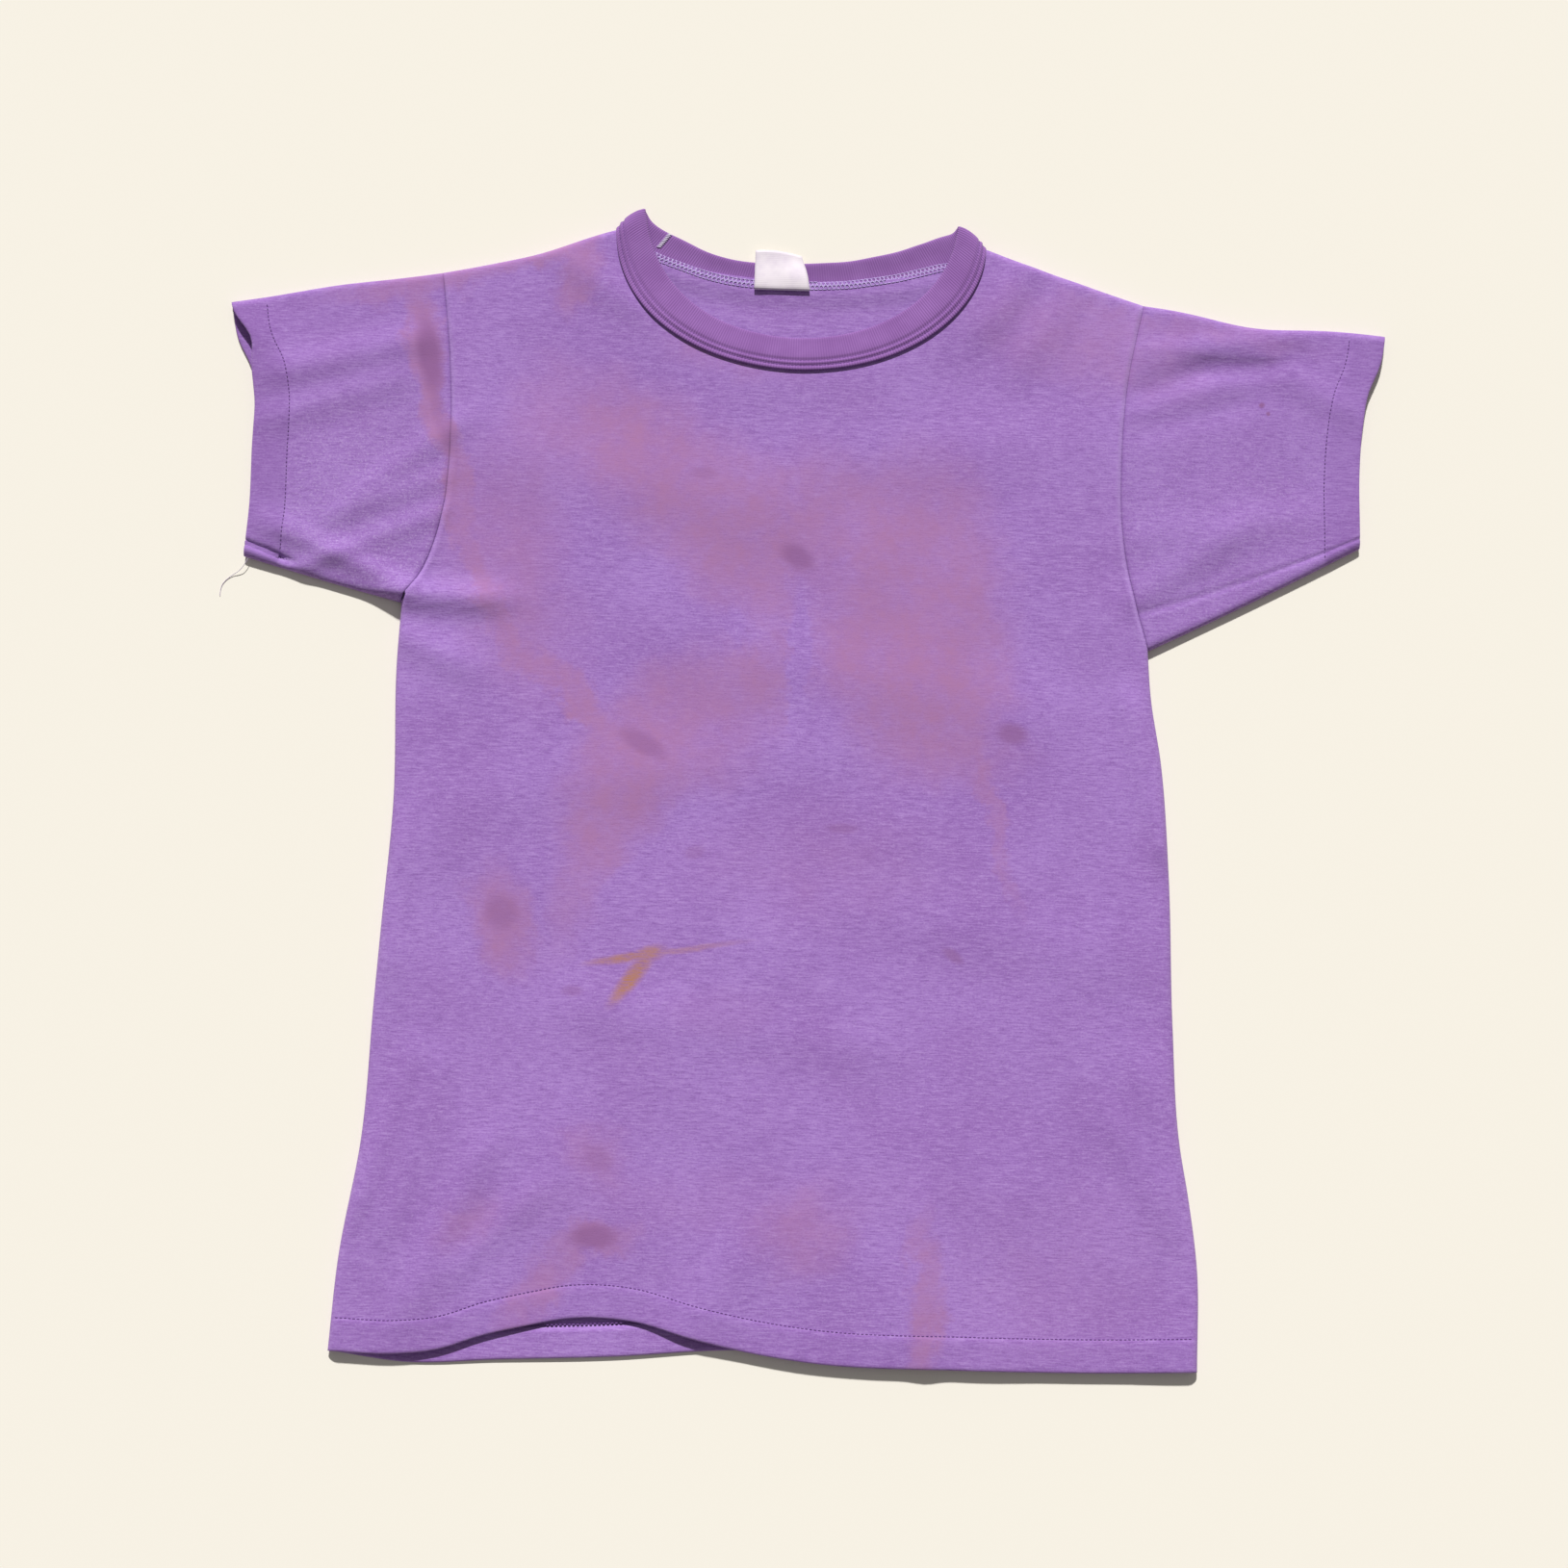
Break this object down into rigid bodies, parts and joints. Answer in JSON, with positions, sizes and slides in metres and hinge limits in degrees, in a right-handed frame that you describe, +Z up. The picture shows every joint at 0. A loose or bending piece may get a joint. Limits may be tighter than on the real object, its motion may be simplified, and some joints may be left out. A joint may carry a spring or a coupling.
{
  "type": "crew-neck t-shirt",
  "caption": "Short-sleeved crew-neck T-shirt in tubular jersey, laid flat, with ribbed neck, turned hems, a neck label and folding sleeves.",
  "frame": {"origin": "on the surface the shirt lies on, under the middle of its outline", "axes": "+Z up through the front of the shirt, +Y towards the neck, +X towards the wearer's left sleeve"},
  "size_m": [0.727, 0.704, 0.0117],
  "materials": {
    "jersey": "worn single jersey, purple, faded and stained",
    "rib_knit": "1x1 rib, purple, darker than the body",
    "thread": "dyed sewing thread",
    "chain_thread": "pale lavender looper thread",
    "label_cloth": "white satin label tape, bare",
    "loose_thread": "single frayed thread"
  },
  "bodies": {
    "shirt": {"body_tube": "jersey", "neck_rib": "rib_knit", "neck_stitch_outer": "thread", "neck_stitch_inner": "thread", "neck_looper_chain": "chain_thread", "rib_join_seam": "chain_thread", "label_stitch": "thread", "hem_stitch": "thread", "sleeve_head_right": "jersey", "sleeve_head_left": "jersey", "armhole_seam_right": "thread", "armhole_seam_left": "thread", "shoulder_seam_right": "thread", "shoulder_seam_left": "thread"},
    "label": {"neck_label": "label_cloth"},
    "right_sleeve": {"sleeve_right": "jersey", "underarm_seam_right": "thread", "sleeve_hem_stitch_right": "thread", "loose_thread": "loose_thread"},
    "left_sleeve": {"sleeve_left": "jersey", "underarm_seam_left": "thread", "sleeve_hem_stitch_left": "thread"}
  },
  "joints": [
    {"name": "label_flip", "type": "hinge", "parent": "shirt", "child": "label", "pos_m": [-0.0175, 0.30515, 0.0036], "axis": [1, 0, 0], "range_deg": [0, 172]},
    {"name": "right_sleeve_fold", "type": "hinge", "parent": "shirt", "child": "right_sleeve", "pos_m": [-0.246, 0.2, 0.0112], "axis": [0, 1, 0], "range_deg": [0, 174]},
    {"name": "left_sleeve_fold", "type": "hinge", "parent": "shirt", "child": "left_sleeve", "pos_m": [0.217, 0.2, 0.0112], "axis": [0, -1, 0], "range_deg": [0, 174]}
  ]
}
